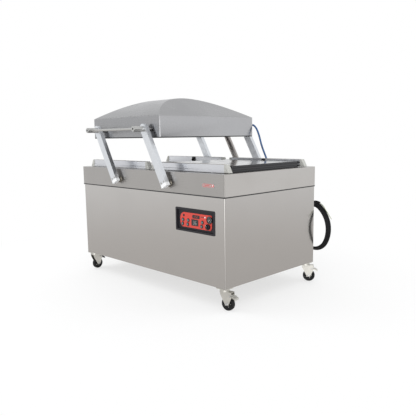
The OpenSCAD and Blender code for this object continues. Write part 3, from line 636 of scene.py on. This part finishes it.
for name, x in (("left_arms", -PIVOT_X), ("right_arms", PIVOT_X)):
    spot, along = arm_frame(x)
    shank = [(0, 0), (1.7, 0), (1.7, 6), (2.9, 6), (2.9, 9.6), (2.3, 10.2), (0, 10.2)]
    head = [(0, -1), (3.2, -1), (3.2, 0.8), (2.2, 1.4), (0, 1.4)]
    pocket_y, cap_y, cap_w = ARM_OUT - 2.6, (ARM_IN + ARM_OUT) / 2, -21
    for end, sy in (("front", -1), ("rear", 1)):
        for k, u in enumerate((-14, 14)):
            lathe("clamp_screw_%s_%s_%d" % (name, end, k + 1), shank, spot(u, sy * pocket_y, 1.5), along,
                  "screw_warm", name, 24)
            lathe("cap_screw_%s_%s_%d" % (name, end, k + 1), head, spot(u, sy * cap_y, cap_w), -along, "screw",
                  name, 24)


# ---- air hose: bends between body, arms and lid ----

def hose():
    y = HOSE_Y
    low = [(338, 440, 742), (338, 447, 742), (337, y, 748), (333, y, 760), (318, y, 789), (296, y, 836),
           (281, y, 866), (266, y, 897)]
    high = [(266, y, 897), (255, y, 924), (246, y, 950), (233, y, 990), (213, y, 1032), (199, y, 1050),
            (186, y, 1061), (176, 450, 1066), (172, 445, 1067), (172, 438, 1067)]
    lower = tube("hose_lower", smooth_path([place(*p) for p in low], 8), HOSE_R, "hose", None, 20)
    upper = tube("hose_upper", smooth_path([place(*p) for p in high], 8), HOSE_R, "hose", None, 20)
    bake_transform(lower)
    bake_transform(upper)
    stands_for(["air_hose"], lower, upper)
    collar = [(0, -2), (11, -2), (11, 4), (8.5, 6), (8.5, 8), (0, 8)]
    lathe("hose_collar_body", collar, place(338, TABLE_Y, 742), BACK, "screw", "root", 6)
    lathe("hose_collar_lid", collar, place(172, LID_Y, 1067), BACK, "screw", "lid", 6)


hose()


# ---- mains cable: one cable hung in three turns, with bare wires at its end ----

def oval(turn):
    """Point of one hanging turn: wide and low, rounder at the foot. turn is a fraction, 0 at the right."""
    foot_r, head_r, side_r, rise = 105, 60, 200, 155
    t = (rise ** 2 + (side_r - foot_r) ** 2 - (side_r - head_r) ** 2) / (2 * rise)
    s = math.sqrt((side_r - foot_r) ** 2 - t ** 2)
    low, high = math.atan2(-t, s), math.atan2(rise - t, s)
    arcs = [((-s, t), side_r, low, high), ((0, rise), head_r, high, math.pi - high),
            ((s, t), side_r, math.pi - high, math.pi - low), ((0, 0), foot_r, math.pi - low, math.tau + low)]
    total = sum(r * (b - a) for _, r, a, b in arcs)
    run = (turn % 1.0) * total
    for (cx, cz), r, a, b in arcs:
        if run <= r * (b - a):
            angle = a + run / r
            return cx + r * math.cos(angle), cz + r * math.sin(angle)
        run -= r * (b - a)
    return arcs[0][0][0] + side_r * math.cos(low), t + side_r * math.sin(low)


def cable():
    hang_x, hang_z, middle_z = 683, 310, 43
    start, turns, per = 0.5, 3.17, 36

    def spot(turn):
        """Point of the cable after so many turns, in table millimetres; each turn hangs outside the last."""
        x, z = oval(start - turn)
        grow = 0.9 + 0.047 * turn
        return (hang_x + x * grow, 488 + 10.5 * turn + 1.2 * math.sin(9 * turn),
                hang_z + middle_z + (z - middle_z) * grow)

    x0, _, z0 = spot(0)
    path = [place(x0, 434, z0), place(x0, 452, z0), place(x0, 472, z0 + 2)]
    count = int(turns * per)
    path += [place(*spot(k / per)) for k in range(2, count + 1)]
    rope = tube("mains_cable_coil", smooth_path(path, 3), 7.5, "cable", "root", 18)
    stands_for(["mains_cable"], rope)
    gland = [(0, -1), (14, -1), (14, 5), (11, 7), (11, 15), (9, 18), (7.5, 18), (7.5, 12), (0, 12)]
    lathe("cable_gland", gland, place(x0, BODY_Y, z0), BACK, "black", "root", 6)
    tail, forward = path[-1], (path[-1] - path[-2]).normalized()
    ends = {"wire_blue": ((742, 519, 508), (757, 517, 489), (768, 515, 472), (775, 514, 459)),
            "wire_brown": ((741, 522, 504), (755, 522, 486), (767, 521, 467), (773, 520, 455)),
            "wire_yellow": ((744, 517, 506), (764, 515, 483), (785, 513, 459), (809, 512, 428))}
    for name, points in ends.items():
        points = [tail - forward * 8 * MM, tail + forward * 2 * MM] + [place(*p) for p in points]
        tube("cable_" + name, smooth_path(points, 6), 2.3, name, "root", 10)
        tip = (points[-1] - points[-2]).normalized()
        tube("bare_" + name, [points[-1] - tip * MM, points[-1] + tip * 6 * MM], 1.2, "copper", "root", 8)


cable()


# ---- casters: tyre, hub, bearing, axle nuts and swivel race ----

CASTERS = {"front_left": (-1, -1, 95), "front_right": (1, -1, 10), "rear_left": (-1, 1, 60),
           "rear_right": (1, 1, 30)}
for corner, (sx, sy, turn) in CASTERS.items():
    cx, cy, a = sx * CASTER_X, sy * CASTER_Y, math.radians(turn)
    ahead, axle = Vector((math.cos(a), math.sin(a), 0)), Vector((-math.sin(a), math.cos(a), 0))
    hub = place(cx, cy, AXLE_Z) + ahead * TRAIL * MM
    wheel = corner + "_wheel"
    tyre = [(29, -9.5), (32, -11.5), (36, -12), (38.6, -10.5), (39.7, -7), (40, -1.2), (39.2, -0.8),
            (39.2, 0.8), (40, 1.2), (39.7, 7), (38.6, 10.5), (36, 12), (32, 11.5), (29, 9.5)]
    rim = [(4.1, -13), (9, -13), (10, -12), (10.6, -7), (13, -6), (26, -6.5), (28.5, -9.5), (30, -10.2),
           (30, 10.2), (28.5, 9.5), (26, 6.5), (13, 6), (10.6, 7), (10, 12), (9, 13), (4.1, 13)]
    stands_for([wheel], lathe(corner + "_tyre", tyre, hub, axle, "tread", wheel, 72),
               lathe(corner + "_hub", rim, hub, axle, "wheel", wheel, 64))
    for k in range(5):
        b = math.tau * k / 5
        out = (ahead * math.cos(b) + Vector((0, 0, 1)) * math.sin(b))
        lathe("%s_hub_bolt_%d" % (corner, k + 1), [(0, -7.6), (2.2, -7.4), (2.2, 7.4), (0, 7.6)],
              hub + out * 19 * MM, axle, "zinc", wheel, 6)
    nut = [(0, -1), (9, -1), (9, 1), (7, 1.2), (7, 5), (6.2, 6), (4, 6), (4, 8), (0, 8.6)]
    for s, end in ((-1, "inner"), (1, "outer")):
        lathe("%s_axle_nut_%s" % (corner, end), nut, hub + axle * s * 18.6 * MM, axle * s, "screw",
              corner + "_fork", 6)
        lathe("%s_pedal_nut_%s" % (corner, end), [(0, 0), (5, 0), (5, 2.2), (4, 3), (0, 3)],
              place(cx, cy, PEDAL_Z) + ahead * PEDAL_OUT * MM + axle * s * 21.4 * MM, axle * s, "screw",
              corner + "_fork", 24)
    race = [(20, 0), (27.5, 0), (28.5, 1), (27.5, 1.9), (20, 1.9)]
    lathe(corner + "_race", race + [race[0]], place(cx, cy, PLATE_Z), UP, "gasket", "root", 48)
    grips = 5
    for k in range(grips):
        f = (k + 1) / (grips + 1)
        base = place(cx, cy, 0) + ahead * (PEDAL_OUT + 15 + 19 * f) * MM
        top = PEDAL_Z + 0.9 - 11.5 * f
        prism("%s_pedal_rib_%d" % (corner, k + 1), rounded(1.6, 34, 0.7, 3),
              base + Vector((0, 0, top * MM)), ahead - Vector((0, 0, PEDAL_DROP)), axle, 1.2,
              "black" if corner == "front_left" else "zinc", corner + "_pedal", 0.2)


# ---- control panel ----

FACE = -430.0


def on_panel(u, v, y=FACE):
    return place(PANEL_X + u, y, PANEL_Z - v)


BUTTONS = ((58, 74), (54, 99), (104, 74), (99, 99), (225, 75), (218, 100))
ring = [(8.9, 0), (11.4, 0), (11.4, 1.0), (10.6, 1.8), (9.6, 2.0), (8.9, 1.6), (8.9, 0)]
for k, (u, v) in enumerate(BUTTONS):
    lathe("button_ring_%d" % (k + 1), ring, on_panel(u, v), OUT, "black", "root", 40)
    lathe("button_face_%d" % (k + 1), [(0, 0.5), (4.5, 0.45), (5.6, 0.2), (5.8, -0.4), (0, -0.4)],
          on_panel(u, v, -433.5), OUT, "face_teal", "button_%d" % (k + 1), 32)

# gauge: grey dial, ticks and window
lathe("gauge_dial", [(1.4, 0), (18.6, 0), (18.6, 0.25), (1.4, 0.25), (1.4, 0)], on_panel(*GAUGE, -432.5), OUT,
      "dial", "root", 64)
for k in range(28):
    a = math.radians(225 - 270 * k / 27)
    long_tick = k % 3 == 0
    r = 14.6 if long_tick else 15.6
    c = on_panel(GAUGE[0] + r * math.cos(a), GAUGE[1] - r * math.sin(a), -432.85)
    u = Vector((math.cos(a), 0, math.sin(a)))
    v = Vector((-math.sin(a), 0, math.cos(a)))
    size = (4.4, 0.9) if long_tick else (2.4, 0.5)
    prism("gauge_tick_%02d" % (k + 1), rounded(*size, 0.1, 1), c, u, v, 0.3, "tick", "root", 0)
lathe("gauge_window", [(0, 0.5), (15, 0.35), (18.8, 0), (18.8, -0.7), (0, -0.4)], on_panel(*GAUGE, -435.2), OUT,
      "glass", "root", 64)

# vacuum knob: ribbed skirt, pointer line and scale
for k in range(30):
    a = math.tau * k / 30
    c = on_panel(KNOB[0] + 16.4 * math.cos(a), KNOB[1] - 16.4 * math.sin(a), -434.6)
    prism("knob_rib_%02d" % (k + 1), circle(0.75, 8), c, RIGHT, UP, 7, "black", "vacuum_knob", 0)
lean = math.radians(-30)
along = Vector((math.sin(lean), 0, math.cos(lean)))
across = Vector((math.cos(lean), 0, -math.sin(lean)))
prism("knob_pointer", rounded(1.4, 10, 0.6, 3), on_panel(*KNOB, -445.1) + along * 8 * MM, across, along, 0.4,
      "cap_white", "vacuum_knob", 0)
for k in range(11):
    a = math.radians(225 - 27 * k)
    c = on_panel(KNOB[0] + 19.4 * math.cos(a), KNOB[1] - 19.4 * math.sin(a), FACE - 0.15)
    if c.x < on_panel(296, KNOB[1]).x:
        prism("knob_tick_%02d" % (k + 1), rounded(2.6, 0.6, 0.2, 2), c, (math.cos(a), 0, math.sin(a)),
              (-math.sin(a), 0, math.cos(a)), 0.3, "cap_white", "root", 0)

SEGMENTS = {"0": "abcdef", "1": "bc", "2": "abged", "3": "abgcd", "4": "fgbc", "5": "afgcd", "6": "afgedc",
            "7": "abc", "8": "abcdefg", "9": "abcfgd"}


def digit(name, value, u, v, h, material, y):
    """Seven-segment numeral h mm tall, centred on panel point (u, v)."""
    w, t = h * 0.5, h * 0.11
    spots = {"a": (0, h / 2, 0), "g": (0, 0, 0), "d": (0, -h / 2, 0), "f": (-w / 2, h / 4, 1),
             "b": (w / 2, h / 4, 1), "e": (-w / 2, -h / 4, 1), "c": (w / 2, -h / 4, 1)}
    for s in SEGMENTS[value]:
        du, dv, upright = spots[s]
        run = (h / 2 if upright else w) - t * 0.5
        a, b = (t, run) if upright else (run, t)
        outline = [(-a / 2, 0), (-a / 2 + t * 0.4, b / 2), (a / 2 - t * 0.4, b / 2), (a / 2, 0),
                   (a / 2 - t * 0.4, -b / 2), (-a / 2 + t * 0.4, -b / 2)]
        if upright:
            outline = [(0, -b / 2), (-a / 2, -b / 2 + t * 0.4), (-a / 2, b / 2 - t * 0.4), (0, b / 2),
                       (a / 2, b / 2 - t * 0.4), (a / 2, -b / 2 + t * 0.4)]
        prism("%s_%s" % (name, s), outline, on_panel(u + du + dv * 0.12, v - dv, y), RIGHT, UP, 0.3,
              material, "root", 0)


for k, value in enumerate("250"):
    digit("number_%d" % (k + 1), value, 160 + k * 11, 48, 11, "digit", FACE - 1.3)
for k, value in enumerate("36"):
    digit("display_%d" % (k + 1), value, 152 + k * 18, 85, 20, "pixel", FACE - 1.3)
lathe("lamp_lens", [(0, 1.6), (2.4, 1.1), (3.6, 0.2), (3.6, -0.4), (0, -0.4)], on_panel(65, 47, FACE - 1.2), OUT,
      "lamp", "root", 32)
lathe("lamp_ring", [(5, 0), (7.8, 0), (7.6, 1.0), (5.6, 1.4), (5, 1.2), (5, 0)], on_panel(65, 47), OUT, "black",
      "root", 40)
prism("panel_mark_bar", rounded(28, 5, 2.4), on_panel(224, 44, FACE - 0.15), RIGHT, UP, 0.3, "dial", "root", 0)
prism("panel_mark_dot", circle(4.6), on_panel(247, 44, FACE - 0.15), RIGHT, UP, 0.3, "cap_white", "root", 0)

# badge: plain plate with a red outline and a round mark, no lettering
finish(NODES["badge_plate"], M["badge_rim"], 0.4)
badge = place(601, -441.6, 714)
shift = Vector((-9, 0, 0)) * MM
prism("badge_outline", rounded(74, 18, 8.9), badge + shift, RIGHT, UP, 0.5, "badge", "root", 0)
prism("badge_field", rounded(68, 12, 5.9), badge + shift + Vector((0, -0.2, 0)) * MM, RIGHT, UP, 0.5,
      "badge_rim", "root", 0)
prism("badge_line", rounded(42, 4, 1.9), badge + shift + Vector((0, -0.5, 0)) * MM, RIGHT, UP, 0.4, "badge",
      "root", 0)
prism("badge_round", circle(8), badge + Vector((38, 0, 0)) * MM, RIGHT, UP, 0.5, "badge", "root", 0)
prism("badge_round_field", circle(4.4), badge + Vector((36, -0.2, 1)) * MM, RIGHT, UP, 0.5, "cap_white", "root", 0)


# ---- studio ----

def floor():
    mesh = bpy.data.meshes.new("floor")
    mesh.from_pydata([(-60, -60, 0), (60, -60, 0), (60, 60, 0), (-60, 60, 0)], [], [(0, 1, 2, 3)])
    obj = bpy.data.objects.new("floor", mesh)
    bpy.context.scene.collection.objects.link(obj)
    mat = bpy.data.materials.new("floor_pale")
    mat.use_nodes = True
    nt = mat.node_tree
    shader = nt.nodes["Principled BSDF"]
    shader.inputs["Roughness"].default_value = 0.7
    shader.inputs["Specular IOR Level"].default_value = 0.2
    grain = noise(nt, 0.02)
    nt.links.new(mix_colour(nt, grain, (0.86, 0.86, 0.86), (0.9, 0.9, 0.9)), shader.inputs["Base Color"])
    glow = add(nt, "Emission", {"Color": (1, 1, 1, 1), "Strength": 1.0})
    geo = add(nt, "NewGeometry")
    far = add(nt, "VectorMath", operation="LENGTH")
    nt.links.new(geo.outputs["Position"], far.inputs[0])
    mix = add(nt, "MixShader")
    nt.links.new(ramp(nt, far.outputs["Value"], 0.62, 1.0, 0.7, 2.2), mix.inputs["Fac"])
    nt.links.new(shader.outputs[0], mix.inputs[1])
    nt.links.new(glow.outputs[0], mix.inputs[2])
    nt.links.new(mix.outputs[0], nt.nodes["Material Output"].inputs["Surface"])
    mesh.materials.append(mat)
    obj.visible_glossy = False


floor()


def world():
    """White behind the object; a soft grey room with one bright window for reflections and light."""
    w = bpy.data.worlds.new("studio")
    bpy.context.scene.world = w
    w.use_nodes = True
    nt = w.node_tree
    back = nt.nodes["Background"]
    coord = add(nt, "TexCoord")
    split = add(nt, "SeparateXYZ")
    nt.links.new(coord.outputs["Generated"], split.inputs[0])
    room = add(nt, "ValToRGB")
    room.color_ramp.interpolation = "EASE"
    steps = ((0.0, 0.66, 0.6), (0.385, 0.83, 0.79), (0.465, 1.0, 1.01), (0.56, 1.0, 1.02), (0.8, 0.93, 0.94),
             (1.0, 0.9, 0.91))
    points = room.color_ramp.elements
    for k, (at, value, blue) in enumerate(steps):
        point = points[k] if k < 2 else points.new(at)
        point.position = at
        point.color = (value, (value + blue) / 2, blue, 1)
    nt.links.new(ramp(nt, split.outputs["Z"], 0, 1, -1, 1), room.inputs["Fac"])
    toward = Vector((0.7, -0.7, 0.12)).normalized()
    dot = add(nt, "VectorMath", operation="DOT_PRODUCT")
    nt.links.new(coord.outputs["Generated"], dot.inputs[0])
    dot.inputs[1].default_value = toward
    window = ramp(nt, dot.outputs["Value"], 0.0, 2.2, 0.86, 0.97)
    lift = add(nt, "CombineXYZ")
    for axis in "XYZ":
        nt.links.new(window, lift.inputs[axis])
    light = add(nt, "VectorMath", operation="ADD")
    nt.links.new(room.outputs["Color"], light.inputs[0])
    nt.links.new(lift.outputs[0], light.inputs[1])
    path = add(nt, "LightPath")
    colour = mix_colour(nt, path.outputs["Is Camera Ray"], light.outputs["Vector"], (1.0, 1.0, 1.0))
    nt.links.new(colour, back.inputs["Color"])


world()

for where, size, power, aim in (((-2.6, -2.2, 3.4), 2.6, 60, (0, 0, 0.6)), ((2.4, 2.2, 3.2), 2.4, 25, (0, 0, 0.6))):
    lamp = bpy.data.lights.new("softbox", "AREA")
    lamp.shape = "SQUARE"
    lamp.size = size
    lamp.energy = power
    holder = bpy.data.objects.new("softbox", lamp)
    bpy.context.scene.collection.objects.link(holder)
    holder.location = where
    holder.rotation_mode = "QUATERNION"
    holder.rotation_quaternion = (Vector(aim) - Vector(where)).to_track_quat("-Z", "Y")
    holder.visible_glossy = False


def camera():
    turn, pitch, roll = (math.radians(v) for v in (45.34, 8.1, -0.83))
    ahead = Vector((-math.sin(turn) * math.cos(pitch), math.cos(turn) * math.cos(pitch), -math.sin(pitch)))
    right = Vector((math.cos(turn), math.sin(turn), 0))
    up = right.cross(ahead)
    c, s = math.cos(roll), math.sin(roll)
    right, up = right * c + up * s, up * c - right * s
    cam = bpy.data.cameras.new("camera")
    cam.sensor_width = 36
    cam.lens = 43.4
    holder = bpy.data.objects.new("camera", cam)
    bpy.context.scene.collection.objects.link(holder)
    m = Matrix((right, up, -ahead)).transposed().to_4x4()
    m.translation = place(2594.4, -2415.4, 986.4)
    holder.matrix_world = m
    bpy.context.scene.camera = holder


camera()
bpy.context.scene.view_settings.view_transform = "Standard"
